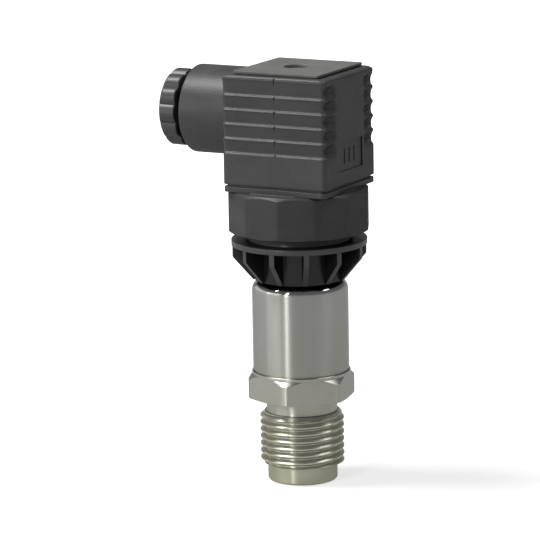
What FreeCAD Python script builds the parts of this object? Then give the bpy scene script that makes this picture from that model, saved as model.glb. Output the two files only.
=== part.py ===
import FreeCAD, Part
import math
import os

os.makedirs("parts", exist_ok=True)

# Pressure transmitter with a male process thread, a hexagon, a round steel case, a finned
# plastic ring, a twelve-sided collar and an angled cable plug held by one centre screw.
# Millimetres. +Z is up. The origin is on the main axis, at the bottom face of the nose.
# The cable boss of the plug points along -X.

# Room between pieces
slip = 0.05
running = 0.08
loose = 0.35

# Process connection, one turned and milled piece
nose_radius = 8.7
nose_length = 4.18
nose_chamfer = 0.4
thread_radius = 10.4775
thread_pitch = 1.814
thread_length = 13.47
thread_flank_angle = 27.5
lead_in_length = 0.7
neck_radius = 8.85
neck_length = 3.45
hexagon_across_flats = 24.0
hexagon_corner_radius = 13.45
hexagon_height = 6.15
hexagon_angle = 40.0
hexagon_top_chamfer = 1.1
hexagon_lower_chamfer = 0.3
step_radius = 12.3
step_height = 0.85
port_radius = 4.283
port_depth = 10.0
passage_radius = 1.5
weld_gap = 0.25
weld_inset = 0.25

# Case tube, rolled in at the top
tube_radius = 12.0
tube_wall = 1.0
tube_length = 22.45
tube_shoulder = 2.2

# Measuring cell and what holds it
cell_radius = 9.0
cell_thickness = 4.0
cell_floor_height = 1.4
cell_seal_radius = 6.5
cell_seal_section = 0.9
cell_seal_squeeze = 0.4
clamp_ring_height = 2.0
clamp_ring_width = 2.0
clamp_notch_width = 1.6
pocket_rim_height = 0.5

# Circuit board
board_width = 17.0
board_thickness = 1.6
board_height = 11.3
board_slot_depth = 0.8
chip_size = 5.0
chip_thickness = 1.5
capacitor_radius = 1.3
capacitor_length = 4.0
capacitor_spacing = 3.6
cell_pin_radius = 0.25
cell_pin_spacing = 2.5
cell_pin_overlap = 2.5
wire_radius = 0.6
wire_offset = 5.5
wire_overlap = 3.0

# Finned ring, one moulding
foot_height = 3.0
foot_bore_length = 6.3
case_seal_section = 0.6
case_seal_lift = 1.0
ring_neck_clearance = 0.25
ring_neck_wall = 2.1
ring_neck_length = 0.5
hub_radius = 11.3
hub_bore_radius = 9.2
hub_length = 8.67
disc_radius = 16.85
disc_thickness = 1.33
fin_count = 12
fin_angle = 3.4
fin_thickness = 1.3
fin_edge_inset = 0.2
fin_root_sink = 1.0
fin_straight = 2.9
fin_foot_radius = 11.7
waist_radius = 13.1
waist_step = 0.75
waist_seal_thickness = 0.6
waist_seal_proud = 0.45
ring_spigot_radius = 11.4
ring_spigot_length = 4.7

# Collar, one moulding
collar_sides = 12
collar_corner_radius = 17.78
collar_angle = 10.0
collar_height = 10.8
collar_top_chamfer = 0.45
collar_lower_chamfer = 0.25
collar_floor = 3.1
collar_wall = 2.0

# Connector base with its blades
flange_thickness = 1.3
base_depth = 4.7
blade_circle_radius = 9.0
blade_width = 6.3
blade_thickness = 0.8
blade_rise = 8.5
blade_tail = 2.0
insert_radius = 2.6
insert_length = 4.9
gasket_thickness = 0.56
gasket_inset = 0.55
gasket_opening = 21.2

# Plug housing, one moulding with its cable boss
housing_left = -13.88
housing_right = 14.5
housing_half_width = 13.71
housing_height = 27.04
housing_wall = 1.9
housing_ceiling = 4.7
housing_corner = 1.5
housing_foot_chamfer = 0.2
housing_top_round = 0.9
housing_right_round = 1.5
top_round_steps = 4
rib_count = 5
rib_first_height = 7.66
rib_top_land = 1.45
rib_ledge_height = 0.68
rib_ledge_depth = 0.6
rib_lip_height = 0.3
rib_lip_depth = 0.14
scoop_depth = 0.48
scoop_end = 7.2
scoop_run_out = 3.2
split_place = 0.85
split_width = 0.5
split_depth = 0.35
panel_low = 3.4
panel_height = 7.2
panel_middle = 0.35
panel_width = 12.4
panel_depth = 0.3
panel_bar_count = 3
panel_bar_width = 0.9
panel_bar_spacing = 2.6
panel_bar_height = 3.6

# Cover plate on the plug
plate_left = -11.3
plate_right = 12.1
plate_half_width = 12.1
plate_thickness = 1.0
plate_corner = 0.6
plate_rebate = 0.45
plate_rebate_height = 0.35

# Cable boss, gland and nut, along the cable axis
boss_radius = 11.0
boss_height = 16.14
boss_reach = 27.5
gland_thread_radius = 7.9
gland_thread_length = 4.65
gland_chamber_radius = 6.5
gland_chamber_depth = 7.55
cable_passage_radius = 5.0
grommet_length = 6.85
grommet_bore_radius = 4.4
nut_radius = 9.8
nut_start = 29.58
nut_length = 4.52
nut_end_wall = 1.1
nut_bore_radius = 4.3
nut_end_round = 1.3
nut_lobes = 12
nut_valley_depth = 0.6
nut_lobe_angle = -3.0
gland_washer_thickness = 0.6
gland_washer_bore_radius = 4.5

# Contact carrier inside the plug
carrier_height = 11.0
carrier_lift = 0.24
sleeve_wall = 0.5
sleeve_length = 9.0
terminal_place = 7.6
terminal_head_radius = 2.2
terminal_head_height = 1.6
terminal_shank_radius = 1.4
terminal_shank_length = 5.0
terminal_sink = 0.6

# Centre fixing screw
screw_radius = 1.5
screw_engagement = 3.0
screw_head_radius = 2.75
screw_head_height = 2.0
screw_slot_width = 0.8
screw_slot_depth = 1.0
screw_slot_angle = 30.0
screw_hole_radius = 3.2
screw_head_sink = 0.75
screw_seal_thickness = 0.8

# Heights along the main axis
thread_depth = 0.640327 * thread_pitch
thread_core = thread_radius - thread_depth
thread_flank = thread_depth * math.tan(math.radians(thread_flank_angle))
thread_crest = thread_pitch / 2 - thread_flank
thread_ridges = int((thread_length - lead_in_length) / thread_pitch)
thread_top = nose_length + thread_length
hexagon_low = thread_top + neck_length
hexagon_top = hexagon_low + hexagon_height
step_top = hexagon_top + step_height
tube_low = step_top + weld_gap
tube_top = tube_low + tube_length
tube_bore = tube_radius - tube_wall
cell_floor = step_top + cell_floor_height
cell_low = cell_floor + cell_seal_squeeze
cell_top = cell_low + cell_thickness
clamp_top = cell_top + clamp_ring_height
spigot_top = clamp_top + pocket_rim_height
board_top = clamp_top + board_height
foot_top = tube_top - tube_wall - slip
foot_low = foot_top - foot_height
case_seal_height = foot_low + case_seal_lift
ring_neck_radius = tube_radius - tube_shoulder - slip - ring_neck_clearance
foot_bore_radius = ring_neck_radius - ring_neck_wall
hub_low = tube_top + ring_neck_length
disc_low = hub_low + hub_length
disc_top = disc_low + disc_thickness
waist_seal_low = disc_top + waist_step
collar_neck_low = waist_seal_low + waist_seal_thickness
collar_low = collar_neck_low + waist_step
collar_top = collar_low + collar_height
collar_bore_radius = collar_corner_radius * math.cos(math.pi / collar_sides) - collar_wall
ring_top = disc_top + ring_spigot_length
flange_top = collar_top + flange_thickness
base_low = collar_top - base_depth
gasket_top = flange_top + gasket_thickness
housing_low = gasket_top
housing_top = housing_low + housing_height
rib_low = housing_low + rib_first_height
rib_pitch = (housing_height - rib_first_height - rib_top_land) / rib_count
rib_top = housing_top - housing_top_round
plate_top = housing_top + plate_thickness
cable_height = housing_low + boss_height
head_top = plate_top - screw_head_sink
head_low = head_top - screw_head_height
screw_seal_low = head_low - screw_seal_thickness
cavity_top = housing_top - housing_ceiling
insert_top = flange_top - slip
screw_tip = insert_top - screw_engagement

# Distances along the cable axis, outwards from the main axis
gland_end = boss_reach + gland_thread_length
chamber_floor = gland_end - gland_chamber_depth
nut_end = nut_start + nut_length
nut_floor = nut_end - nut_end_wall

ORIGIN = FreeCAD.Vector(0, 0, 0)
UP = FreeCAD.Vector(0, 0, 1)
ACROSS = FreeCAD.Vector(0, 1, 0)
DIAGONAL = math.sqrt(0.5)


def polar(radius, angle, height):
    turn = math.radians(angle)
    return FreeCAD.Vector(radius * math.cos(turn), radius * math.sin(turn), height)


def closed_wire(steps, place):
    """Joins the steps by lines. A step of four numbers is reached by an arc through the last two."""
    edges = []
    here = place(*steps[0][:2])
    for step in steps[1:] + steps[:1]:
        there = place(*step[:2])
        if len(step) == 4:
            edges.append(Part.Arc(here, place(*step[2:]), there).toShape())
        else:
            edges.append(Part.LineSegment(here, there).toShape())
        here = there
    return Part.Wire(edges)


def turned(steps):
    """Revolves a profile of (radius, height) steps about the main axis."""
    wire = closed_wire(steps, lambda radius, height: FreeCAD.Vector(radius, 0, height))
    return Part.Face(wire).revolve(ORIGIN, UP, 360)


def rod(radius, low, high, x=0.0, y=0.0):
    return Part.makeCylinder(radius, high - low, FreeCAD.Vector(x, y, low))


def tube(radius, bore, low, high):
    return rod(radius, low, high).cut(rod(bore, low, high))


def block(left, right, front, back, low, high):
    corner = FreeCAD.Vector(left, front, low)
    return Part.makeBox(right - left, back - front, high - low, corner)


def upright_edges(shape):
    return [edge for edge in shape.Edges if abs(edge.tangentAt(edge.FirstParameter).z) > 0.99]


def rounded_block(left, right, front, back, low, high, radius):
    solid = block(left, right, front, back, low, high)
    return solid.makeFillet(radius, upright_edges(solid))


def prism(corner_radius, sides, angle, low, high):
    corners = []
    for side in range(sides + 1):
        corners.append(polar(corner_radius, angle + 360 / sides * side, low))
    return Part.Face(Part.makePolygon(corners)).extrude(FreeCAD.Vector(0, 0, high - low))


def o_ring(radius, section, height):
    return Part.makeTorus(radius, section, FreeCAD.Vector(0, 0, height))


def along_cable(shape):
    """Turns a piece built about the main axis so that its +Z runs out along the cable axis."""
    turned_shape = shape.copy()
    turned_shape.rotate(ORIGIN, ACROSS, -90)
    turned_shape.translate(FreeCAD.Vector(0, 0, cable_height))
    return turned_shape


def around(shape, count, start=0.0):
    copies = []
    for index in range(count):
        copy = shape.copy()
        copy.rotate(ORIGIN, UP, start + 360 / count * index)
        copies.append(copy)
    return copies


def process_connection():
    """The thread stands as one ridge a pitch, in the true section of the thread."""
    hexagon_corner = hexagon_across_flats / 2 / math.cos(math.pi / 6)
    body = prism(hexagon_corner, 6, hexagon_angle, hexagon_low, hexagon_top)
    chamfer_reach = hexagon_corner_radius - step_radius
    body = body.common(turned([
        (0, hexagon_low),
        (hexagon_across_flats / 2, hexagon_low),
        (hexagon_corner_radius, hexagon_low + hexagon_lower_chamfer),
        (hexagon_corner_radius, hexagon_top - hexagon_top_chamfer),
        (hexagon_corner_radius - chamfer_reach, hexagon_top),
        (0, hexagon_top),
    ]))
    nose = [
        (0, 0),
        (nose_radius - nose_chamfer, 0),
        (nose_radius, nose_chamfer),
        (nose_radius, nose_length),
        (thread_core, nose_length + lead_in_length),
    ]
    thread = []
    for ridge in range(thread_ridges):
        foot = thread_top - (thread_ridges - ridge) * thread_pitch
        thread.append((thread_core, foot))
        thread.append((thread_radius, foot + thread_flank))
        thread.append((thread_radius, foot + thread_flank + thread_crest))
        thread.append((thread_core, foot + 2 * thread_flank + thread_crest))
    neck_and_spigot = [
        (thread_core, thread_top),
        (neck_radius, thread_top),
        (neck_radius, hexagon_low),
        (neck_radius, hexagon_top),
        (step_radius, hexagon_top),
        (step_radius, step_top),
        (tube_radius - weld_inset, step_top),
        (tube_radius - weld_inset, tube_low),
        (tube_bore - slip, tube_low),
        (tube_bore - slip, spigot_top),
        (0, spigot_top),
    ]
    body = body.fuse(turned(nose + thread + neck_and_spigot))
    body = body.cut(rod(cell_radius + slip, cell_floor, spigot_top))
    groove_half = cell_seal_section + slip
    groove_floor = cell_low - 2 * cell_seal_section
    body = body.cut(tube(cell_seal_radius + groove_half, cell_seal_radius - groove_half,
                         groove_floor, cell_floor))
    body = body.cut(rod(passage_radius, 0, cell_floor))
    body = body.cut(rod(port_radius, 0, port_depth))
    return body.removeSplitter()


def case_tube():
    shoulder_centre_radius = tube_radius - tube_shoulder
    shoulder_centre_height = tube_top - tube_shoulder
    inner_shoulder = tube_shoulder - tube_wall
    return turned([
        (tube_bore, tube_low),
        (tube_radius, tube_low),
        (tube_radius, shoulder_centre_height),
        (shoulder_centre_radius, tube_top,
         shoulder_centre_radius + tube_shoulder * DIAGONAL,
         shoulder_centre_height + tube_shoulder * DIAGONAL),
        (shoulder_centre_radius - slip, tube_top),
        (shoulder_centre_radius - slip, tube_top - tube_wall),
        (shoulder_centre_radius, tube_top - tube_wall),
        (tube_bore, shoulder_centre_height,
         shoulder_centre_radius + inner_shoulder * DIAGONAL,
         shoulder_centre_height + inner_shoulder * DIAGONAL),
    ])


def cell_seal():
    return o_ring(cell_seal_radius, cell_seal_section, cell_low - cell_seal_section)


def pressure_cell():
    return rod(cell_radius, cell_low, cell_top)


def cell_clamp_ring():
    ring = tube(cell_radius, cell_radius - clamp_ring_width, cell_top, clamp_top)
    half = clamp_notch_width / 2
    notch = block(-cell_radius, cell_radius, -half, half, clamp_top - half, clamp_top)
    notch.rotate(ORIGIN, UP, 90)
    return ring.cut(notch)


def circuit_board():
    half_width = board_width / 2
    half_thickness = board_thickness / 2
    return block(-half_width, half_width, -half_thickness, half_thickness, clamp_top, board_top)


def board_chip():
    half = chip_size / 2
    front = -board_thickness / 2 - chip_thickness
    middle = (clamp_top + board_top) / 2
    return block(-half, half, front, front + chip_thickness, middle - half, middle + half)


def board_capacitors():
    back = board_thickness / 2
    height = clamp_top + capacitor_length
    cans = []
    for index in (-1, 0, 1):
        foot = FreeCAD.Vector(index * capacitor_spacing, back, height)
        cans.append(Part.makeCylinder(capacitor_radius, capacitor_length, foot, ACROSS))
    return Part.makeCompound(cans)


def cell_pins():
    back = board_thickness / 2 + cell_pin_radius
    pins = []
    for index in (-1, 0, 1):
        pins.append(rod(cell_pin_radius, cell_top, clamp_top + cell_pin_overlap,
                        index * cell_pin_spacing, back))
    return Part.makeCompound(pins)


def fin():
    """One fin: straight down below the disc's rim, then sloping in to the foot of the hub."""
    edge = disc_radius - fin_edge_inset
    root = hub_radius - fin_root_sink
    corners = [
        FreeCAD.Vector(root, -fin_thickness / 2, disc_low + disc_thickness / 2),
        FreeCAD.Vector(edge, -fin_thickness / 2, disc_low + disc_thickness / 2),
        FreeCAD.Vector(edge, -fin_thickness / 2, disc_low - fin_straight),
        FreeCAD.Vector(fin_foot_radius, -fin_thickness / 2, hub_low),
        FreeCAD.Vector(root, -fin_thickness / 2, hub_low),
    ]
    face = Part.Face(Part.makePolygon(corners + corners[:1]))
    return face.extrude(FreeCAD.Vector(0, fin_thickness, 0))


def fin_ring():
    foot_radius = tube_bore - slip
    shoulder_centre_radius = tube_radius - tube_shoulder
    shoulder_centre_height = tube_top - tube_shoulder
    foot_shoulder = tube_shoulder - tube_wall - slip
    body = turned([
        (foot_bore_radius, foot_low),
        (foot_radius, foot_low),
        (foot_radius, shoulder_centre_height),
        (shoulder_centre_radius, foot_top,
         shoulder_centre_radius + foot_shoulder * DIAGONAL,
         shoulder_centre_height + foot_shoulder * DIAGONAL),
        (ring_neck_radius, foot_top),
        (ring_neck_radius, hub_low),
        (hub_radius, hub_low),
        (hub_radius, disc_low),
        (disc_radius, disc_low),
        (disc_radius, disc_top),
        (waist_radius, disc_top),
        (waist_radius, waist_seal_low),
        (ring_spigot_radius, waist_seal_low),
        (ring_spigot_radius, ring_top),
        (hub_bore_radius, ring_top),
        (hub_bore_radius, foot_low + foot_bore_length + hub_bore_radius - foot_bore_radius),
        (foot_bore_radius, foot_low + foot_bore_length),
    ])
    for blade in around(fin(), fin_count, fin_angle):
        body = body.fuse(blade)
    seal_half = case_seal_section + slip
    body = body.cut(tube(foot_radius + slip, foot_radius - 2 * case_seal_section,
                         case_seal_height - seal_half, case_seal_height + seal_half))
    slot_half = board_width / 2 + slip
    slot_side = board_thickness / 2 + slip
    body = body.cut(block(-slot_half, slot_half, -slot_side, slot_side,
                          foot_low, foot_low + board_slot_depth + slip))
    return body.removeSplitter()


def case_seal():
    return o_ring(tube_bore - slip - case_seal_section, case_seal_section, case_seal_height)


def waist_seal():
    return tube(waist_radius + waist_seal_proud, ring_spigot_radius + slip,
                waist_seal_low, collar_neck_low)


def collar():
    across = collar_corner_radius * math.cos(math.pi / collar_sides)
    body = prism(collar_corner_radius, collar_sides, collar_angle, collar_low, collar_top)
    body = body.common(turned([
        (0, collar_low),
        (across - collar_lower_chamfer, collar_low),
        (collar_corner_radius, collar_low + 2 * collar_lower_chamfer),
        (collar_corner_radius, collar_top - 2 * collar_top_chamfer),
        (across - collar_top_chamfer, collar_top),
        (0, collar_top),
    ]))
    body = body.fuse(rod(waist_radius, collar_neck_low, collar_low))
    body = body.cut(rod(ring_spigot_radius + slip, collar_neck_low, collar_top))
    body = body.cut(rod(collar_bore_radius, collar_low + collar_floor, collar_top))
    return body.removeSplitter()


def blade_block(half_width, half_thickness, low, high):
    """A flat upright bar on the blade circle, on the +X side."""
    return block(blade_circle_radius - half_thickness, blade_circle_radius + half_thickness,
                 -half_width, half_width, low, high)


def connector_base():
    body = rounded_block(housing_left, housing_right, -housing_half_width, housing_half_width,
                         collar_top, flange_top, housing_corner)
    body = body.fuse(rod(collar_bore_radius - slip, base_low, collar_top))
    slot = blade_block(blade_width / 2 + slip, blade_thickness / 2 + slip, base_low, flange_top)
    for hole in around(slot, 4):
        body = body.cut(hole)
    body = body.cut(rod(insert_radius + slip, insert_top - insert_length, flange_top))
    body = body.cut(rod(screw_radius + loose, base_low, flange_top))
    return body.removeSplitter()


def blade():
    low = base_low - blade_tail
    high = flange_top + blade_rise
    half = blade_width / 2
    tip = half / 2
    near = blade_circle_radius - blade_thickness / 2
    corners = [
        FreeCAD.Vector(near, -half, low),
        FreeCAD.Vector(near, half, low),
        FreeCAD.Vector(near, half, high - tip),
        FreeCAD.Vector(near, half - tip, high),
        FreeCAD.Vector(near, tip - half, high),
        FreeCAD.Vector(near, -half, high - tip),
    ]
    face = Part.Face(Part.makePolygon(corners + corners[:1]))
    return face.extrude(FreeCAD.Vector(blade_thickness, 0, 0))


def contact_blades():
    return Part.makeCompound(around(blade(), 4)[:3])


def earth_blade():
    return around(blade(), 4)[3]


def hookup_wire(angle):
    """A wire up the face of the board, then out to the inner side of one blade's tail."""
    beside = board_thickness / 2 + wire_radius + slip
    start = FreeCAD.Vector(wire_offset * math.cos(math.radians(angle)), beside,
                           board_top - wire_overlap)
    bend = FreeCAD.Vector(start.x, start.y, disc_low)
    end_radius = blade_circle_radius - blade_thickness / 2 - wire_radius - slip
    end = polar(end_radius, angle, base_low - blade_tail / 2)
    upper = end - bend
    wire = Part.makeCylinder(wire_radius, bend.z - start.z, start)
    wire = wire.fuse(Part.makeSphere(wire_radius, bend))
    return wire.fuse(Part.makeCylinder(wire_radius, upper.Length, bend, upper))


def hookup_wires():
    return Part.makeCompound([hookup_wire(angle) for angle in (0, 90, 180)])


def threaded_insert():
    return tube(insert_radius, screw_radius + running, insert_top - insert_length, insert_top)


def flat_gasket():
    frame = rounded_block(housing_left + gasket_inset, housing_right - gasket_inset,
                          gasket_inset - housing_half_width, housing_half_width - gasket_inset,
                          flange_top, gasket_top, housing_corner)
    half = gasket_opening / 2
    return frame.cut(rounded_block(-half, half, -half, half, flange_top, gasket_top,
                                   housing_corner))


def housing_outline(height, groove, scoop, inset):
    """Planform of the plug at one height.

    groove is how deep the ribbed front and back faces lie there. scoop is how deep the notches
    in the two right corners lie, which run out along the right face. inset draws in all four
    sides, the right one further, for the rounded top edge.
    """
    right = housing_right - inset * housing_right_round / housing_top_round
    left = housing_left + inset
    radius = housing_corner
    corner = radius * (1 - DIAGONAL)
    near_right = right - scoop
    near_side = housing_half_width - inset - groove
    steps = [
        (right, -scoop_end),
        (near_right, -scoop_end - scoop_run_out),
        (near_right, radius - near_side),
        (near_right - radius, -near_side, near_right - corner, corner - near_side),
        (left + radius, -near_side),
        (left, radius - near_side, left + corner, corner - near_side),
        (left, near_side - radius),
        (left + radius, near_side, left + corner, near_side - corner),
        (near_right - radius, near_side),
        (near_right, near_side - radius, near_right - corner, near_side - corner),
        (near_right, scoop_end + scoop_run_out),
        (right, scoop_end),
    ]
    return closed_wire(steps, lambda x, y: FreeCAD.Vector(x, y, height))


def slope_depth(rise, stretch):
    """Depth of the sloping face of a rib of height stretch, at a rise above its ledge's foot."""
    share = (rise - rib_ledge_height) / (stretch - rib_lip_height - rib_ledge_height)
    return rib_ledge_depth + (rib_lip_depth - rib_ledge_depth) * share


def notch_depth(rise):
    """Depth of the rounded corner notches, each of which starts at the lip below a ledge."""
    return scoop_depth * (1 - math.cos(2 * math.pi * (rise + rib_lip_height) / rib_pitch)) / 2


def housing_levels():
    """Heights of the plug's outside, each with its groove depth, notch depth and inset."""
    levels = [
        (housing_low, 0, 0, housing_foot_chamfer),
        (housing_low + housing_foot_chamfer, 0, 0, 0),
        (rib_low - rib_lip_height, 0, 0, 0),
    ]
    crest = rib_pitch - rib_lip_height
    valley = crest - rib_pitch / 2
    for rib in range(rib_count):
        foot = rib_low + rib * rib_pitch
        stretch = rib_pitch
        if rib == rib_count - 1:
            stretch = rib_top - foot
        levels.append((foot, 0, notch_depth(0), 0))
        for rise in (rib_ledge_height, valley, (valley + crest) / 2, crest):
            levels.append((foot + rise, slope_depth(rise, stretch), notch_depth(rise), 0))
    levels.append((rib_top - rib_lip_height, rib_lip_depth, 0, 0))
    for step in range(top_round_steps + 1):
        turn = math.pi / 2 * step / top_round_steps
        levels.append((housing_top - housing_top_round * (1 - math.sin(turn)), 0, 0,
                       housing_top_round * (1 - math.cos(turn))))
    return levels


def housing_cavity():
    cavity = rounded_block(housing_left + housing_wall, housing_right - housing_wall,
                           housing_wall - housing_half_width, housing_half_width - housing_wall,
                           housing_low, cavity_top, housing_corner)
    return cavity


def marking_panel():
    """The shallow plain panel on the right face, with short upright bars left standing in it."""
    low = housing_low + panel_low
    high = low + panel_height
    front = panel_middle - panel_width / 2
    back = panel_middle + panel_width / 2
    panel = block(housing_right - panel_depth, housing_right + panel_depth, front, back, low, high)
    bar_low = (low + high - panel_bar_height) / 2
    for index in range(panel_bar_count):
        place = panel_middle + (index - (panel_bar_count - 1) / 2) * panel_bar_spacing
        panel = panel.cut(block(housing_right - panel_depth, housing_right + panel_depth,
                                place - panel_bar_width / 2, place + panel_bar_width / 2,
                                bar_low, bar_low + panel_bar_height))
    return panel


def plug_housing():
    wires = [housing_outline(*level) for level in housing_levels()]
    body = Part.makeLoft(wires, True, True)
    for side in (-1, 1):
        line = block(split_place - split_width / 2, split_place + split_width / 2,
                     -split_depth, split_depth, rib_low, housing_top)
        line.translate(FreeCAD.Vector(0, side * housing_half_width, 0))
        body = body.cut(line)
    boss_root = -housing_left - housing_wall / 2
    body = body.fuse(along_cable(rod(boss_radius, boss_root, boss_reach)))
    body = body.fuse(along_cable(rod(gland_thread_radius, boss_root, gland_end)))
    body = body.cut(housing_cavity())
    body = body.cut(along_cable(rod(cable_passage_radius, 0, chamber_floor)))
    body = body.cut(along_cable(rod(gland_chamber_radius, chamber_floor, gland_end)))
    body = body.cut(rod(screw_hole_radius, screw_seal_low, housing_top))
    body = body.cut(rod(screw_radius + loose, cavity_top, housing_top))
    body = body.cut(marking_panel())
    return body.removeSplitter()


def top_plate():
    foot = rounded_block(plate_left + plate_rebate, plate_right - plate_rebate,
                         plate_rebate - plate_half_width, plate_half_width - plate_rebate,
                         housing_top, plate_top, plate_corner)
    cover = rounded_block(plate_left, plate_right, -plate_half_width, plate_half_width,
                          housing_top + plate_rebate_height, plate_top, plate_corner)
    return foot.fuse(cover).cut(rod(screw_hole_radius, housing_top, plate_top)).removeSplitter()


def contact_carrier():
    low = housing_low + carrier_lift
    high = low + carrier_height
    room = housing_wall + 3 * slip
    body = rounded_block(housing_left + room, housing_right - room,
                         room - housing_half_width, housing_half_width - room,
                         low, high, housing_corner)
    pocket = blade_block(blade_width / 2 + 2 * slip + sleeve_wall,
                         blade_thickness / 2 + 2 * slip + sleeve_wall,
                         low, low + sleeve_length + slip)
    for hole in around(pocket, 4):
        body = body.cut(hole)
    body = body.cut(rod(screw_radius + loose, low, high))
    head_seat = high - terminal_sink - terminal_head_height
    for x, y in terminal_places():
        body = body.cut(rod(terminal_head_radius + 2 * slip, head_seat, high, x, y))
        body = body.cut(rod(terminal_shank_radius + slip, head_seat - terminal_shank_length,
                            high, x, y))
    return body.removeSplitter()


def terminal_places():
    return [(terminal_place * x, terminal_place * y) for x in (-1, 1) for y in (-1, 1)]


def female_contacts():
    low = housing_low + carrier_lift
    outer = blade_block(blade_width / 2 + slip + sleeve_wall,
                        blade_thickness / 2 + slip + sleeve_wall, low, low + sleeve_length)
    inner = blade_block(blade_width / 2 + slip, blade_thickness / 2 + slip, low,
                        low + sleeve_length)
    return Part.makeCompound(around(outer.cut(inner), 4))


def terminal_screws():
    head_seat = housing_low + carrier_lift + carrier_height - terminal_sink - terminal_head_height
    head_end = head_seat + terminal_head_height
    screws = []
    for x, y in terminal_places():
        screw = rod(terminal_head_radius, head_seat, head_end, x, y)
        screw = screw.fuse(rod(terminal_shank_radius, head_seat - terminal_shank_length,
                               head_seat, x, y))
        half = screw_slot_width / 2
        slot = block(x - terminal_head_radius, x + terminal_head_radius, y - half, y + half,
                     head_end - screw_slot_width, head_end)
        screws.append(screw.cut(slot))
    return Part.makeCompound(screws)


def cable_grommet():
    return along_cable(tube(gland_chamber_radius - 4 * slip, grommet_bore_radius,
                            chamber_floor, chamber_floor + grommet_length))


def gland_washer():
    return along_cable(tube(gland_chamber_radius - loose, gland_washer_bore_radius,
                            nut_floor - slip - gland_washer_thickness, nut_floor - slip))


def nut_grip():
    """The ring of rounded lobes around the nut, as a prism of the nut's length."""
    half = math.pi / nut_lobes
    valley = nut_radius - nut_valley_depth
    steps = []
    for lobe in range(nut_lobes):
        middle = math.radians(nut_lobe_angle) + 2 * half * lobe
        steps.append((valley * math.cos(middle + half), valley * math.sin(middle + half),
                      nut_radius * math.cos(middle), nut_radius * math.sin(middle)))
    outline = closed_wire(steps, lambda x, y: FreeCAD.Vector(x, y, nut_start))
    return Part.Face(outline).extrude(FreeCAD.Vector(0, 0, nut_length))


def gland_nut():
    thread_bore = gland_thread_radius + running
    round_centre_radius = nut_radius - nut_end_round
    round_centre_height = nut_end - nut_end_round
    body = turned([
        (thread_bore, nut_start),
        (nut_radius, nut_start),
        (nut_radius, round_centre_height),
        (round_centre_radius, nut_end,
         round_centre_radius + nut_end_round * DIAGONAL,
         round_centre_height + nut_end_round * DIAGONAL),
        (nut_bore_radius, nut_end),
        (nut_bore_radius, nut_floor),
        (thread_bore, nut_floor),
    ])
    return along_cable(body.common(nut_grip()))


def fixing_screw():
    body = rod(screw_head_radius, head_low, head_top)
    body = body.fuse(rod(screw_radius, screw_tip, head_low))
    half = screw_slot_width / 2
    slot = block(-screw_head_radius, screw_head_radius, -half, half,
                 head_top - screw_slot_depth, head_top)
    slot.rotate(ORIGIN, UP, screw_slot_angle)
    return body.cut(slot)


def screw_seal():
    return tube(screw_head_radius, screw_radius + running, screw_seal_low, head_low)


NODES = {
    "process_connection": process_connection,
    "case_tube": case_tube,
    "cell_seal": cell_seal,
    "pressure_cell": pressure_cell,
    "cell_clamp_ring": cell_clamp_ring,
    "cell_pins": cell_pins,
    "circuit_board": circuit_board,
    "board_chip": board_chip,
    "board_capacitors": board_capacitors,
    "hookup_wires": hookup_wires,
    "fin_ring": fin_ring,
    "case_seal": case_seal,
    "waist_seal": waist_seal,
    "collar": collar,
    "connector_base": connector_base,
    "contact_blades": contact_blades,
    "earth_blade": earth_blade,
    "threaded_insert": threaded_insert,
    "flat_gasket": flat_gasket,
    "plug_housing": plug_housing,
    "top_plate": top_plate,
    "contact_carrier": contact_carrier,
    "female_contacts": female_contacts,
    "terminal_screws": terminal_screws,
    "cable_grommet": cable_grommet,
    "gland_washer": gland_washer,
    "gland_nut": gland_nut,
    "fixing_screw": fixing_screw,
    "screw_seal": screw_seal,
}

for node, make in NODES.items():
    solid = make()
    solid.exportStep("parts/" + node + ".step")
    print(node, len(solid.Solids), round(solid.Volume, 2), solid.isValid())
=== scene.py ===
"""The looks of a pressure transmitter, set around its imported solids."""

import math

import bmesh
import bpy
import numpy as np
from mathutils import Matrix, Vector


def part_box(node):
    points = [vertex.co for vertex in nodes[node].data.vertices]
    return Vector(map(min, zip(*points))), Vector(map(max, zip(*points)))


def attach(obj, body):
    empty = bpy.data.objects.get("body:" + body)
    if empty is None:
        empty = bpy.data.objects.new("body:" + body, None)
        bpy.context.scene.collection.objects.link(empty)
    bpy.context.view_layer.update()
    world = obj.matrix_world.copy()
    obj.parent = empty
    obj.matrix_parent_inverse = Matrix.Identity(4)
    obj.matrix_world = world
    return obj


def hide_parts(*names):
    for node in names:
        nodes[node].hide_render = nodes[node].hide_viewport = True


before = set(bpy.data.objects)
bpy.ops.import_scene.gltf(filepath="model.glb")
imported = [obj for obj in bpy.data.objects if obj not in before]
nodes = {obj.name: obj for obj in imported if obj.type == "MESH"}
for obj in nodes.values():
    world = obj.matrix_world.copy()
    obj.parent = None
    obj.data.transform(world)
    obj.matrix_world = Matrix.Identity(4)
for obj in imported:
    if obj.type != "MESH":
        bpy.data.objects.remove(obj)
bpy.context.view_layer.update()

MM = 0.001
WELD_DISTANCE = 0.0005 * MM


def node_span(node):
    """Lowest and highest corner of a node at rest, in millimetres."""
    low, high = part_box(node)
    return Vector(low) / MM, Vector(high) / MM


# Sizes of the solids, read from the frame, in millimetres
connection_high = node_span("process_connection")[1]
tube_low, tube_high = node_span("case_tube")
collar_low, collar_high = node_span("collar")
housing_low, housing_high = node_span("plug_housing")
nut_low, nut_high = node_span("gland_nut")
seal_low = node_span("screw_seal")[0]

# Sizes of the shapes: lengths in millimetres, angles in degrees

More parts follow.
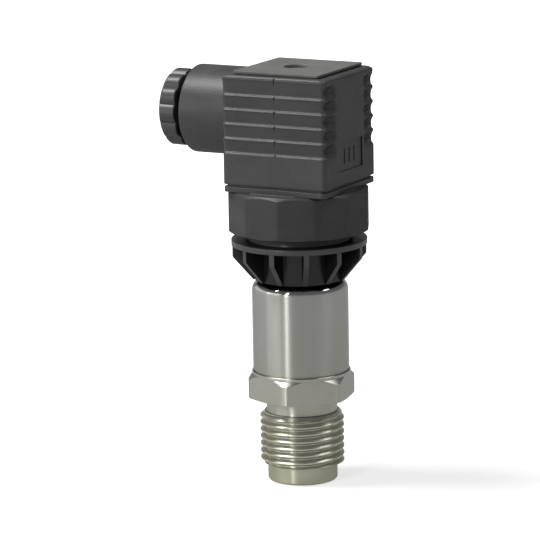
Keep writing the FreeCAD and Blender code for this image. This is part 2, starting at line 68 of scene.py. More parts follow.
# Process connection
NOSE_RADIUS = 8.7
NOSE_LENGTH = 4.18
NOSE_CHAMFER = 0.4
THREAD_RADIUS = 10.4775
THREAD_PITCH = 1.814
THREAD_TOP = NOSE_LENGTH + 13.47
THREAD_DEPTH = 0.640327 * THREAD_PITCH
THREAD_CORE = THREAD_RADIUS - THREAD_DEPTH
THREAD_LEAD_IN = 0.5
THREAD_ROOT = 0.12  # share of a sharp ridge that is filled at the root
THREAD_FLANK = 0.74  # share of it that is left as flank
THREAD_ROUNDING = 0.35  # how far the flank is rounded into root and crest
THREAD_ROWS = 120
NECK_RADIUS = 8.85
HEXAGON_LOW = THREAD_TOP + 3.45
HEXAGON_HEIGHT = 6.15
HEXAGON_TOP = HEXAGON_LOW + HEXAGON_HEIGHT
HEXAGON_FLAT_RADIUS = 12.0
HEXAGON_CORNER_RADIUS = 13.45
HEXAGON_ANGLE = 40.0
HEXAGON_CHAMFER_SLOPE = 1.05
HEXAGON_FOOT_SLOPE = 4.8
HEXAGON_SOFT_CORNER = 0.25
HEXAGON_SOFT_EDGE = 0.06
STEP_RADIUS = 12.3
STEP_CHAMFER = 0.12
STEP_TOP = HEXAGON_TOP + 0.85
WELD_RADIUS = 11.75
PORT_RADIUS = 4.283
PORT_THREAD_DEPTH = 0.45
PORT_PITCH = 0.907
PORT_ROWS = 80
PORT_DEPTH = 10.0
PORT_DRILL_TIP = 1.2
PASSAGE_RADIUS = 1.5
SPIGOT_RADIUS = 10.95
POCKET_RADIUS = 9.05
POCKET_FLOOR = STEP_TOP + 1.4
CONNECTION_POINTS = 360

# Case tube
TUBE_RADIUS = tube_high.x
TUBE_WALL = 1.0
TUBE_SHOULDER = 2.2
TUBE_FOOT_CHAMFER = 0.1
TUBE_LIP = 0.05
TUBE_POINTS = 256

# Finned ring
FIN_FOOT = tube_high.z + 0.5
FIN_SLANT = 5.77
FIN_FOOT_RADIUS = 11.7
FIN_RADIUS = 16.65
FIN_UNSHADED_DEPTH = 0.12  # depth under the outer edges down to which no shade is painted
FIN_FULL_SHADE_DEPTH = 0.3  # depth at which the painted shade is full
DISC_LOW = FIN_FOOT + 8.67
WAIST_RADIUS = 13.1

# Collar
COLLAR_SIDES = 12
COLLAR_CORNER_RADIUS = 17.78
COLLAR_ANGLE = 10.0
COLLAR_TOP_CHAMFER = 0.45
COLLAR_LOWER_CHAMFER = 0.25
COLLAR_NECK_HEIGHT = 0.75
COLLAR_NECK_RADIUS = 13.1
COLLAR_LOWER_BORE_RADIUS = 11.45
COLLAR_UPPER_BORE_RADIUS = 15.1742
COLLAR_FLOOR = 3.1
COLLAR_SOFT_CORNER = 0.12
COLLAR_SOFT_EDGE = 0.08
COLLAR_POINTS = 360

# Plug
HOUSING_LOW = housing_low.z
HOUSING_TOP = housing_high.z
HOUSING_RIGHT = housing_high.x
HOUSING_LEFT = -13.88
HOUSING_SIDE = housing_high.y
HOUSING_CORNER = 1.2
HOUSING_WALL = 1.9
HOUSING_CEILING = 4.7
TOP_ROUND = 0.9
RIGHT_ROUND = 1.5
FOOT_ROUND = 0.2
RIB_COUNT = 5
RIB_FIRST = HOUSING_LOW + 7.66
RIB_TOP_LAND = 1.45
RIB_PITCH = (HOUSING_TOP - RIB_TOP_LAND - RIB_FIRST) / RIB_COUNT
RIB_TOP = HOUSING_TOP - TOP_ROUND
RIB_LEDGE_HEIGHT = 0.68
RIB_LEDGE_DEPTH = 0.6
RIB_LIP_HEIGHT = 0.3
RIB_LIP_DEPTH = 0.14

# Notches of the plug's two right corners, one beside every rib
SCOOP_DEPTH = 0.68  # at the corner itself
SCOOP_END = 7.2  # its inner end, from the middle of the right face
SCOOP_RUN_OUT = 0.3  # share of its width in which it rises to the face
SCOOP_BOWL = 1.1  # how much deeper it gets beside the corner, as a share
SCOOP_LEAN = 1.35  # above 1, its deepest place lies above its middle
SCOOP_STEPS = 18
CORNER_SHARPENING = 0.55  # how much of the corner's rounding it takes away

SPLIT_PLACE = 0.85
SPLIT_WIDTH = 0.5
SPLIT_DEPTH = 0.35
PANEL_LOW = HOUSING_LOW + 3.4
PANEL_HEIGHT = 7.2
PANEL_MIDDLE = 0.35
PANEL_WIDTH = 12.4
PANEL_DEPTH = 0.3
PANEL_BARS = (-2.25, 0.35, 2.95)
PANEL_BAR_WIDTH = 0.9
PANEL_BAR_HEIGHT = 3.6
PANEL_BAR_INSET = 0.14

# Cable boss, gland thread and screw hole
CABLE_HEIGHT = HOUSING_LOW + 16.14
BOSS_RADIUS = 11.0
BOSS_REACH = 27.5
BOSS_EDGE_ROUND = 0.5
GLAND_RADIUS = 7.9
GLAND_THREAD_DEPTH = 0.75
GLAND_UNDERCUT = 0.7
GLAND_END = -housing_low.x
GLAND_PITCH = 1.5
GLAND_END_CHAMFER = 0.3
GLAND_TURN = 1  # keeps the thread's points off those of the boss
BOSS_POINTS = 180
CHAMBER_RADIUS = 6.5
CHAMBER_FLOOR = GLAND_END - 7.55
CABLE_PASSAGE_RADIUS = 5.0
SCREW_HOLE_RADIUS = 3.2
SCREW_CLEARANCE_RADIUS = 1.85
SCREW_SEAT = seal_low.z

# Gland nut
NUT_RADIUS = 9.8
NUT_START = -nut_high.x
NUT_END = -nut_low.x
NUT_FLOOR = NUT_END - 1.1
NUT_BORE_RADIUS = 4.3
NUT_THREAD_RADIUS = 7.98
NUT_LOBES = 12
NUT_LOBE_ANGLE = -3.0
NUT_VALLEY_DEPTH = 0.85
NUT_EDGE_ROUND = 0.3
NUT_END_ROUND = 1.3
NUT_SOFT_EDGE = 0.12
NUT_SETBACK = 0.03
NUT_MOUTH_WIDTH = 0.35
NUT_MOUTH_DEPTH = 0.2
NUT_THREAD_CHAMFER = 0.3
NUT_POINTS = 360

# Steps in which quarter rounds are drawn
FINE_ROUND = 12
COARSE_ROUND = 3


# Meshes built as rings of points

def add_piece(name, points, faces, body, material, replaced, smooth_angle):
    """Makes a mesh piece from points in millimetres and hangs it on its body."""
    mesh = bpy.data.meshes.new(name)
    mesh.from_pydata([tuple(point) for point in np.asarray(points) * MM], [], faces)
    mesh.validate()
    piece = bpy.data.objects.new(name, mesh)
    bpy.context.scene.collection.objects.link(piece)
    finish_piece(piece, body, material, replaced, smooth_angle)


def finish_piece(piece, body, material, replaced, smooth_angle):
    """Joins doubled points, shades the piece up to the angle and hangs it on its body."""
    mesh = piece.data
    solid = bmesh.new()
    solid.from_mesh(mesh)
    bmesh.ops.remove_doubles(solid, verts=solid.verts, dist=WELD_DISTANCE)
    bmesh.ops.recalc_face_normals(solid, faces=solid.faces)
    solid.to_mesh(mesh)
    solid.free()
    mesh.polygons.foreach_set("use_smooth", [True] * len(mesh.polygons))
    mesh.set_sharp_from_angle(angle=math.radians(smooth_angle))
    mesh.materials.clear()
    mesh.materials.append(material)
    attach(piece, body)
    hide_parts(*replaced)


def skin(rings, closed):
    """Points and four-sided faces of a skin over rings that all have the same number of points."""
    count = len(rings[0])
    points = np.concatenate(rings)
    faces = []
    last = len(rings) if closed else len(rings) - 1
    for row in range(last):
        here = row * count
        above = (row + 1) % len(rings) * count
        for index in range(count):
            right = (index + 1) % count
            faces.append((here + index, here + right, above + right, above + index))
    return points, faces


def capped(rings):
    """A closed skin whose first and last ring are filled by one face each."""
    points, faces = skin(rings, False)
    count = len(rings[0])
    end = len(rings) * count
    faces.append(tuple(reversed(range(count))))
    faces.append(tuple(range(end - count, end)))
    return points, faces


def round_ring(radius, height, angles):
    """A ring about the main axis; radius is one number or one for each angle."""
    radii = np.broadcast_to(radius, angles.shape)
    return np.stack([radii * np.cos(angles), radii * np.sin(angles),
                     np.full(angles.shape, height)], axis=1)


def out_along_cable(points):
    """Turns points built about the main axis so that their height runs out along the cable."""
    x, y, z = np.asarray(points).T
    return np.stack([-z, y, x + CABLE_HEIGHT], axis=1)


def full_turn(count, start=0.0):
    """The angles of a full turn, from start degrees on."""
    return math.radians(start) + np.arange(count) * 2 * math.pi / count


def quarter_turn(steps):
    """The angles of a quarter turn, both ends included."""
    return [math.pi / 2 * step / steps for step in range(steps + 1)]


def polygon_radius(angles, sides, flat_radius, start):
    """Radius of a regular polygon whose corners lie at start degrees and on from there."""
    sector = 2 * math.pi / sides
    off_flat = (angles - math.radians(start)) % sector - sector / 2
    return flat_radius / np.cos(off_flat)


def soft_minimum(first, second, softness):
    """The smaller of two radii, with the corner between them rounded."""
    gap = np.clip(softness - np.abs(first - second), 0, None)
    return np.minimum(first, second) - gap * gap / (4 * softness)


def rounded_profile(corners, radius, steps):
    """Rounds every inner corner of an open profile of (radius, height) corners."""
    result = [corners[0]]
    for before, corner, after in zip(corners, corners[1:], corners[2:]):
        corner_point = np.array(corner, float)
        back = np.array(before, float) - corner_point
        ahead = np.array(after, float) - corner_point
        reach = min(radius, np.linalg.norm(back) * 0.45, np.linalg.norm(ahead) * 0.45)
        start = corner_point + back / np.linalg.norm(back) * reach
        end = corner_point + ahead / np.linalg.norm(ahead) * reach
        for step in range(steps + 1):
            t = step / steps
            result.append(tuple((1 - t) ** 2 * start + 2 * t * (1 - t) * corner_point
                                + t * t * end))
    result.append(corners[-1])
    return result


def fine_rows(low, high, count):
    return list(np.linspace(low, high, count))


# Materials

# Sockets of a colour mix, which share their names with those of its other data types
MIX_FIRST, MIX_SECOND, MIX_RESULT = 6, 7, 2
STAINED, CLEAN = (0.93, 0.93, 0.89), (1, 1, 1)
CLOUDINESS = 0.12  # how far a plastic's colour varies to either side
POLISH = 0.24  # how much less rough rolling leaves the steel
SHARP_CHANGE = 0.05  # height in which one finish gives way to another


def new_material(name):
    material = bpy.data.materials.new(name)
    material.use_nodes = True
    tree = material.node_tree
    shader = tree.nodes["Principled BSDF"]
    return material, tree, shader


def add(tree, kind, **values):
    node = tree.nodes.new(kind)
    for key, value in values.items():
        if key in node.inputs:
            node.inputs[key].default_value = value
        else:
            setattr(node, key, value)
    return node


def object_coordinates(tree, scale):
    """Coordinates of the piece in millimetres, stretched by scale."""
    place = add(tree, "ShaderNodeTexCoord")
    stretch = add(tree, "ShaderNodeMapping")
    stretch.inputs["Scale"].default_value = [value / MM for value in scale]
    tree.links.new(place.outputs["Object"], stretch.inputs["Vector"])
    return stretch.outputs["Vector"]


def noise(tree, coordinates, scale, detail=3.0, roughness=0.6):
    texture = add(tree, "ShaderNodeTexNoise", Scale=scale, Detail=detail, Roughness=roughness)
    tree.links.new(coordinates, texture.inputs["Vector"])
    return texture.outputs["Fac"]


def limits(tree, value, from_low, from_high, low, high, interpolation="LINEAR"):
    """Maps a value from one range to another and holds it there."""
    remap = add(tree, "ShaderNodeMapRange", interpolation_type=interpolation)
    remap.inputs["From Min"].default_value = from_low
    remap.inputs["From Max"].default_value = from_high
    remap.inputs["To Min"].default_value = low
    remap.inputs["To Max"].default_value = high
    tree.links.new(value, remap.inputs["Value"])
    return remap.outputs["Result"]


def ramp(tree, value, low, high):
    """Maps the middle of a noise value's range to the range low to high."""
    return limits(tree, value, 0.3, 0.7, low, high)


def around_value(tree, value, middle, spread):
    """Varies a number by spread on both sides of its middle, following a noise value."""
    return ramp(tree, value, middle - spread, middle + spread)


def calculation(tree, operation, first, second):
    node = add(tree, "ShaderNodeMath", operation=operation)
    tree.links.new(first, node.inputs[0])
    tree.links.new(second, node.inputs[1])
    return node.outputs["Value"]


def mixed_colour(tree, value, first, second):
    """A colour between two, the second where the value is 1."""
    mix = add(tree, "ShaderNodeMix", data_type="RGBA")
    tree.links.new(value, mix.inputs["Factor"])
    mix.inputs[MIX_FIRST].default_value = (*first, 1)
    mix.inputs[MIX_SECOND].default_value = (*second, 1)
    return mix.outputs[MIX_RESULT]


def bumped(tree, shader, height, strength, distance):
    bump = add(tree, "ShaderNodeBump", Strength=strength, Distance=distance * MM)
    tree.links.new(height, bump.inputs["Height"])
    tree.links.new(bump.outputs["Normal"], shader.inputs["Normal"])
    return bump.outputs["Normal"]


def separated(tree):
    """The three coordinates of the piece, in millimetres."""
    split = add(tree, "ShaderNodeSeparateXYZ")
    tree.links.new(object_coordinates(tree, (1, 1, 1)), split.inputs["Vector"])
    return split


def height_and_radius(tree):
    """Height above the origin and distance from the main axis, in millimetres."""
    split = separated(tree)
    flat = add(tree, "ShaderNodeCombineXYZ")
    tree.links.new(split.outputs["X"], flat.inputs["X"])
    tree.links.new(split.outputs["Y"], flat.inputs["Y"])
    reach = add(tree, "ShaderNodeVectorMath", operation="LENGTH")
    tree.links.new(flat.outputs["Vector"], reach.inputs[0])
    return split.outputs["Z"], reach.outputs["Value"]


def unshaded_fin_edges(tree):
    """1 on the outer edges of the fins and on the disc, 0 between the fins and in the waist, where
    shade is painted.
    """
    height, radius = height_and_radius(tree)
    envelope = limits(tree, height, FIN_FOOT, FIN_FOOT + FIN_SLANT, FIN_FOOT_RADIUS, FIN_RADIUS)
    depth = calculation(tree, "SUBTRACT", envelope, radius)
    edge = limits(tree, depth, FIN_UNSHADED_DEPTH, FIN_FULL_SHADE_DEPTH, 1.0, 0.0)
    above = limits(tree, height, DISC_LOW - SHARP_CHANGE, DISC_LOW, 0.0, 1.0)
    unshaded_share = limits(tree, radius, WAIST_RADIUS + 0.2, WAIST_RADIUS + 1.2, 0.0, 1.0)
    disc = calculation(tree, "MULTIPLY", above, unshaded_share)
    return calculation(tree, "MAXIMUM", edge, disc)


def unshaded_above_the_neck(tree):
    """0 on the narrow neck under the collar, where shade is painted, 1 above it."""
    low = collar_low.z + COLLAR_NECK_HEIGHT
    return limits(tree, separated(tree).outputs["Z"], low - SHARP_CHANGE, low, 0.0, 1.0)


def moulded_plastic(name, colour, roughness, grain, grain_height, gloss=0.09,
                    unshaded_share=None, shaded_colour_share=0.35, shaded_gloss_share=0.35):
    """Moulded plastic: a fine spark-eroded grain, faint cloudiness and a thin satin skin.
    Where the given mask is 0, in recesses, it is darker and more matt: painted shade."""
    material, tree, shader = new_material(name)
    fine = noise(tree, object_coordinates(tree, (1, 1, 1)), scale=1 / grain, detail=2.0,
                 roughness=0.7)
    cloud = noise(tree, object_coordinates(tree, (0.12, 0.12, 0.2)), scale=1.0, detail=4.0,
                  roughness=0.55)
    darker = [channel * (1 - CLOUDINESS) for channel in colour]
    lighter = [channel * (1 + CLOUDINESS) for channel in colour]
    clouded = mixed_colour(tree, ramp(tree, cloud, 0, 1), darker, lighter)
    tree.links.new(clouded, shader.inputs["Base Color"])
    tree.links.new(around_value(tree, cloud, roughness, 0.04), shader.inputs["Roughness"])
    bump = bumped(tree, shader, fine, strength=0.5, distance=grain_height)
    shader.inputs["Specular IOR Level"].default_value = 0.0
    shader.inputs["Coat Weight"].default_value = gloss
    # Painted shade: where the mask is 0 the colour is darkened and the coat thinned.
    if unshaded_share:
        share = unshaded_share(tree)
        tone = add(tree, "ShaderNodeMix", data_type="RGBA")
        inner = [channel * shaded_colour_share for channel in colour]
        tone.inputs[MIX_FIRST].default_value = (*inner, 1)
        tree.links.new(share, tone.inputs["Factor"])
        tree.links.new(clouded, tone.inputs[MIX_SECOND])
        tree.links.new(tone.outputs[MIX_RESULT], shader.inputs["Base Color"])
        tree.links.new(limits(tree, share, 0.0, 1.0, gloss * shaded_gloss_share, gloss),
                       shader.inputs["Coat Weight"])
    shader.inputs["Coat IOR"].default_value = 2.0
    shader.inputs["Coat Roughness"].default_value = roughness
    tree.links.new(bump, shader.inputs["Coat Normal"])
    return material


def turned_steel(name, colours, roughness, line_pitch, anisotropy, polished_from=None):
    """Turned steel: tool lines round the axis, its tint given as (height, colour) pairs.
    From the height polished_from up it is smoother, as rolling leaves it."""
    material, tree, shader = new_material(name)
    shader.inputs["Metallic"].default_value = 1.0
    shader.inputs["Anisotropic"].default_value = anisotropy
    shader.inputs["Anisotropic Rotation"].default_value = 0.25
    shader.inputs["Specular Tint"].default_value = (0.6, 0.6, 0.6, 1)
    lines = noise(tree, object_coordinates(tree, (0.02, 0.02, 1 / line_pitch)), scale=1.0,
                  detail=4.0, roughness=0.7)
    stains = noise(tree, object_coordinates(tree, (0.09, 0.09, 0.05)), scale=1.0, detail=3.0,
                   roughness=0.5)
    height = separated(tree).outputs["Z"]
    tint = add(tree, "ShaderNodeValToRGB")
    while len(tint.color_ramp.elements) < len(colours):
        tint.color_ramp.elements.new(1.0)
    for element, (level, colour) in zip(tint.color_ramp.elements, colours):
        element.position = level / tube_high.z
        element.color = (*colour, 1)
    tree.links.new(limits(tree, height, 0.0, tube_high.z, 0.0, 1.0), tint.inputs["Fac"])
    tone = add(tree, "ShaderNodeMix", data_type="RGBA", blend_type="MULTIPLY")
    tone.inputs["Factor"].default_value = 1.0
    tree.links.new(tint.outputs["Color"], tone.inputs[MIX_FIRST])
    tree.links.new(mixed_colour(tree, ramp(tree, stains, 0, 1), STAINED, CLEAN),
                   tone.inputs[MIX_SECOND])
    tree.links.new(tone.outputs[MIX_RESULT], shader.inputs["Base Color"])
    rough = around_value(tree, lines, roughness, 0.04)
    if polished_from is not None:
        polish = limits(tree, height, polished_from, polished_from + 1.0, 0.0, -POLISH,
                        "SMOOTHSTEP")
        rough = calculation(tree, "ADD", rough, polish)
    tree.links.new(rough, shader.inputs["Roughness"])
    bumped(tree, shader, lines, strength=0.35, distance=0.004)
    tangent = add(tree, "ShaderNodeTangent", direction_type="RADIAL", axis="Z")
    tree.links.new(tangent.outputs["Tangent"], shader.inputs["Tangent"])
    return material


def rubber(name, colour):
    """Matt black rubber with a fine grain."""
    material, tree, shader = new_material(name)
    fine = noise(tree, object_coordinates(tree, (1, 1, 1)), scale=4.0)
    lighter = [channel * 1.6 for channel in colour]
    tree.links.new(mixed_colour(tree, ramp(tree, fine, 0, 1), colour, lighter),
                   shader.inputs["Base Color"])
    shader.inputs["Roughness"].default_value = 0.75
    bumped(tree, shader, fine, strength=0.4, distance=0.03)
    return material


def plain_metal(name, colour, roughness):
    """Small plated parts: a slightly blotchy plating."""
    material, tree, shader = new_material(name)
    shader.inputs["Metallic"].default_value = 1.0
    blotches = noise(tree, object_coordinates(tree, (1, 1, 1)), scale=1.5)
    darker = [channel * 0.8 for channel in colour]
    tree.links.new(mixed_colour(tree, ramp(tree, blotches, 0, 1), darker, colour),
                   shader.inputs["Base Color"])
    tree.links.new(around_value(tree, blotches, roughness, 0.06), shader.inputs["Roughness"])
    bumped(tree, shader, blotches, strength=0.2, distance=0.01)
    return material


plug_plastic = moulded_plastic("plug_plastic", (0.037, 0.0375, 0.0372), roughness=0.38,
                               grain=0.5, grain_height=0.12, gloss=0.13)
plate_plastic = moulded_plastic("plate_plastic", (0.085, 0.087, 0.082), roughness=0.4,
                                grain=0.4, grain_height=0.03)
# The collar's neck gets painted shade.
collar_plastic = moulded_plastic("collar_plastic", (0.032, 0.0325, 0.0325), roughness=0.36,
                                 grain=0.3, grain_height=0.01, unshaded_share=unshaded_above_the_neck)
# The fin ring gets painted shade between the fins and in the waist.
ring_plastic = moulded_plastic("ring_plastic", (0.022, 0.022, 0.022), roughness=0.3,
                               grain=0.3, grain_height=0.012, gloss=0.24,
                               unshaded_share=unshaded_fin_edges, shaded_colour_share=0.3, shaded_gloss_share=0.6)
black_plastic = moulded_plastic("black_plastic", (0.012, 0.012, 0.012), roughness=0.3,
                                grain=0.3, grain_height=0.012, gloss=0.2)
nut_plastic = moulded_plastic("nut_plastic", (0.03, 0.0305, 0.031), roughness=0.38,
                              grain=0.3, grain_height=0.008, gloss=0.2)
tube_steel = turned_steel("tube_steel", [
    (STEP_TOP, (0.215, 0.217, 0.199)),
    (tube_high.z, (0.215, 0.219, 0.207)),
], roughness=0.34, line_pitch=0.12, anisotropy=0.95, polished_from=tube_high.z - TUBE_SHOULDER)
connection_steel = turned_steel("connection_steel", [
    (NOSE_LENGTH, (0.285, 0.282, 0.224)),
    # The thread's lighter tint is a painted reflection.
    (NOSE_LENGTH + THREAD_LEAD_IN, (0.37, 0.365, 0.3)),
    (THREAD_TOP - 0.2, (0.37, 0.365, 0.31)),
    (THREAD_TOP, (0.27, 0.268, 0.236)),
    (HEXAGON_LOW, (0.252, 0.25, 0.226)),
    (HEXAGON_TOP, (0.252, 0.251, 0.232)),
], roughness=0.35, line_pitch=0.15, anisotropy=0.9)
board_green = moulded_plastic("board_green", (0.02, 0.12, 0.05), roughness=0.35,
                              grain=0.5, grain_height=0.01)
wire_red = moulded_plastic("wire_red", (0.35, 0.03, 0.02), roughness=0.35,
                           grain=0.5, grain_height=0.01)
ceramic = moulded_plastic("ceramic", (0.75, 0.73, 0.68), roughness=0.4,
                          grain=0.3, grain_height=0.01)
seal_rubber = rubber("seal_rubber", (0.012, 0.012, 0.012))
brass = plain_metal("brass", (0.72, 0.52, 0.2), roughness=0.3)
tinned = plain_metal("tinned", (0.66, 0.65, 0.62), roughness=0.3)
zinc = plain_metal("zinc", (0.55, 0.56, 0.57), roughness=0.35)


# The process connection

def thread_crest(angles, height, pitch):
    """How far the thread stands out at each angle, from 0 at the root to 1 at the crest."""
    phase = (height / pitch - angles / (2 * math.pi)) % 1.0
    rise = 1 - np.abs(2 * phase - 1)
    flank = np.clip((rise - THREAD_ROOT) / THREAD_FLANK, 0, 1)
    rounded = flank * flank * (3 - 2 * flank)
    return rounded * THREAD_ROUNDING + flank * (1 - THREAD_ROUNDING)


def male_thread_radius(angles, height):
    """Radius of the process thread, with a lead-in below and a run-out above."""
    crest = thread_crest(angles, height, THREAD_PITCH)
    radius = THREAD_RADIUS - THREAD_DEPTH * (1 - crest)
    slope = (THREAD_RADIUS - NOSE_RADIUS) / THREAD_LEAD_IN
    lead_in = NOSE_RADIUS + (height - NOSE_LENGTH) * slope
    run_out = THREAD_CORE + (THREAD_TOP - height)
    return np.minimum(np.minimum(radius, lead_in), run_out)


def hexagon_radius(angles, height):
    """Radius of the hexagon, chamfered a little below and widely above."""
    flats = polygon_radius(angles, 6, HEXAGON_FLAT_RADIUS, HEXAGON_ANGLE)
    chamfer = STEP_RADIUS - 0.05 + (HEXAGON_TOP - height) * HEXAGON_CHAMFER_SLOPE
    lower = HEXAGON_FLAT_RADIUS + (height - HEXAGON_LOW) * HEXAGON_FOOT_SLOPE
    radius = soft_minimum(flats, HEXAGON_CORNER_RADIUS, HEXAGON_SOFT_CORNER)
    radius = soft_minimum(radius, chamfer, HEXAGON_SOFT_EDGE)
    return soft_minimum(radius, lower, HEXAGON_SOFT_EDGE)


def process_connection():
    angles = full_turn(CONNECTION_POINTS)
    rings = []

    def turned_stretch(profile, rounding):
        for radius, height in rounded_profile(profile, rounding, 3):
            rings.append(round_ring(radius, height, angles))

    turned_stretch([
        (PORT_RADIUS, PORT_THREAD_DEPTH),
        (PORT_RADIUS + PORT_THREAD_DEPTH, 0),
        (NOSE_RADIUS - NOSE_CHAMFER, 0),
        (NOSE_RADIUS, NOSE_CHAMFER),
        (NOSE_RADIUS, NOSE_LENGTH - 0.05),
        (NOSE_RADIUS + 0.02, NOSE_LENGTH),
    ], 0.15)
    for height in fine_rows(NOSE_LENGTH + 0.04, THREAD_TOP, THREAD_ROWS):
        rings.append(round_ring(male_thread_radius(angles, height), height, angles))
    turned_stretch([
        (THREAD_CORE - 0.01, THREAD_TOP + 0.01),
        (NECK_RADIUS, THREAD_TOP + 0.02),
        (NECK_RADIUS, HEXAGON_LOW),
        (HEXAGON_FLAT_RADIUS - 0.1, HEXAGON_LOW),
    ], 0.3)
    foot_rows, flat_rows = fine_rows(0, 0.35, 6), fine_rows(0.6, 4.2, 4)
    chamfer_rows = fine_rows(4.4, HEXAGON_HEIGHT, 26)
    for rise in foot_rows + flat_rows + chamfer_rows:
        rings.append(round_ring(hexagon_radius(angles, HEXAGON_LOW + rise),
                                HEXAGON_LOW + rise, angles))
    turned_stretch([
        (STEP_RADIUS - 0.06, HEXAGON_TOP + 0.01),
        (STEP_RADIUS, HEXAGON_TOP + 0.05),
        (STEP_RADIUS, STEP_TOP - STEP_CHAMFER),
        (STEP_RADIUS - STEP_CHAMFER, STEP_TOP),
        (WELD_RADIUS, STEP_TOP),
        (WELD_RADIUS, tube_low.z),
        (SPIGOT_RADIUS, tube_low.z),
        (SPIGOT_RADIUS, connection_high.z),
        (POCKET_RADIUS, connection_high.z),
        (POCKET_RADIUS, POCKET_FLOOR),
        (PASSAGE_RADIUS, POCKET_FLOOR),
        (PASSAGE_RADIUS, PORT_DEPTH + PORT_DRILL_TIP),
        (PORT_RADIUS, PORT_DEPTH),
    ], 0.1)
    for height in reversed(fine_rows(0.5, PORT_DEPTH - 1.5, PORT_ROWS)):
        crest = thread_crest(angles, height, PORT_PITCH)
        rings.append(round_ring(PORT_RADIUS + PORT_THREAD_DEPTH * (1 - crest), height, angles))
    points, faces = skin(rings, True)
    add_piece("process_connection_turned", points, faces, "root", connection_steel,
              ["process_connection"], smooth_angle=32)


def case_tube():
    angles = full_turn(TUBE_POINTS)
    centre_radius = TUBE_RADIUS - TUBE_SHOULDER
    centre_height = tube_high.z - TUBE_SHOULDER
    bore = TUBE_RADIUS - TUBE_WALL
    inner = TUBE_SHOULDER - TUBE_WALL
    profile = [
        (bore, tube_low.z),
        (TUBE_RADIUS - TUBE_FOOT_CHAMFER, tube_low.z),
        (TUBE_RADIUS, tube_low.z + TUBE_FOOT_CHAMFER),
    ]
    for turn in quarter_turn(FINE_ROUND):
        profile.append((centre_radius + TUBE_SHOULDER * math.cos(turn),
                        centre_height + TUBE_SHOULDER * math.sin(turn)))
    profile.append((centre_radius - TUBE_LIP, tube_high.z))
    profile.append((centre_radius - TUBE_LIP, tube_high.z - TUBE_WALL))
    for turn in reversed(quarter_turn(6)):
        profile.append((centre_radius + inner * math.cos(turn),
                        centre_height + inner * math.sin(turn)))
    rings = [round_ring(radius, height, angles) for radius, height in profile]
    points, faces = skin(rings, True)
    add_piece("case_tube_rolled", points, faces, "root", tube_steel,
              ["case_tube"], smooth_angle=30)


def collar_radius(angles, height):
    """Radius of the twelve-sided collar, with a conical chamfer at both ends."""
    across = COLLAR_CORNER_RADIUS * math.cos(math.pi / COLLAR_SIDES)
    flats = polygon_radius(angles, COLLAR_SIDES, across, COLLAR_ANGLE)
    flats = soft_minimum(flats, COLLAR_CORNER_RADIUS - 0.04, COLLAR_SOFT_CORNER)
    low = collar_low.z + COLLAR_NECK_HEIGHT
    high = collar_high.z
    reach = COLLAR_CORNER_RADIUS - across
    top_slope = (reach + COLLAR_TOP_CHAMFER) / (2 * COLLAR_TOP_CHAMFER)
    low_slope = (reach + COLLAR_LOWER_CHAMFER) / (2 * COLLAR_LOWER_CHAMFER)
    top = across - COLLAR_TOP_CHAMFER + (high - height) * top_slope
    lower = across - COLLAR_LOWER_CHAMFER + (height - low) * low_slope
    radius = soft_minimum(flats, top, COLLAR_SOFT_EDGE)
    return soft_minimum(radius, lower, COLLAR_SOFT_EDGE)


def collar():
    angles = full_turn(COLLAR_POINTS)
    low = collar_low.z + COLLAR_NECK_HEIGHT
    high = collar_high.z
    rings = [
        round_ring(COLLAR_LOWER_BORE_RADIUS, collar_low.z, angles),
        round_ring(COLLAR_NECK_RADIUS, collar_low.z, angles),
        round_ring(COLLAR_NECK_RADIUS, low, angles),
    ]
    lower_rows, flat_rows = fine_rows(0, 0.7, 12), fine_rows(1.2, 9.4, 6)
    top_rows = fine_rows(9.7, high - low, 18)
    for rise in lower_rows + flat_rows + top_rows:
        rings.append(round_ring(collar_radius(angles, low + rise), low + rise, angles))
    rings += [
        round_ring(COLLAR_UPPER_BORE_RADIUS, high, angles),
        round_ring(COLLAR_UPPER_BORE_RADIUS, low + COLLAR_FLOOR, angles),
        round_ring(COLLAR_LOWER_BORE_RADIUS, low + COLLAR_FLOOR, angles),
    ]
    points, faces = skin(rings, True)
    add_piece("collar_twelve_sided", points, faces, "root", collar_plastic,
              ["collar"], smooth_angle=25)


# The plug

def smooth_step(value):
    value = min(max(value, 0.0), 1.0)
    return value * value * (3 - 2 * value)


def rib_groove(height):
    """How deep the ribbed faces lie at one height. The last rib reaches up to the rounded edge."""
    rib = min(math.floor((height - RIB_FIRST) / RIB_PITCH), RIB_COUNT - 1)
    if rib < 0 or height > RIB_TOP:
        return 0.0
    foot = RIB_FIRST + rib * RIB_PITCH
    stretch = RIB_TOP - foot if rib == RIB_COUNT - 1 else RIB_PITCH
    rise = height - foot
    if rise < RIB_LEDGE_HEIGHT:
        return RIB_LEDGE_DEPTH * smooth_step(rise / RIB_LEDGE_HEIGHT)
    panel = stretch - RIB_LIP_HEIGHT
    if rise < panel:
        share = (rise - RIB_LEDGE_HEIGHT) / (panel - RIB_LEDGE_HEIGHT)
        return RIB_LEDGE_DEPTH + (RIB_LIP_DEPTH - RIB_LEDGE_DEPTH) * share
    return RIB_LIP_DEPTH * (1 - smooth_step((rise - panel) / RIB_LIP_HEIGHT))


def corner_scoop(height):
    """How deep the rounded notches in the two right corners lie at one height."""
    above = (height - RIB_FIRST + RIB_LIP_HEIGHT) / RIB_PITCH
    if above < 0 or above > RIB_COUNT:
        return 0.0
    return SCOOP_DEPTH * math.sin(math.pi * (above % 1.0) ** SCOOP_LEAN)


def bend(centre_x, centre_y, radius, start, count=9):
    """A quarter turn of an outline's corner, from start degrees on."""
    turns = [math.radians(start + 90 * step / (count - 1)) for step in range(count)]
    return [(centre_x + radius * math.cos(turn), centre_y + radius * math.sin(turn))
            for turn in turns]


def line(first, second, count):
    """Points between two points, without the second."""
    return [(first[0] + (second[0] - first[0]) * step / count,
             first[1] + (second[1] - first[1]) * step / count) for step in range(count)]


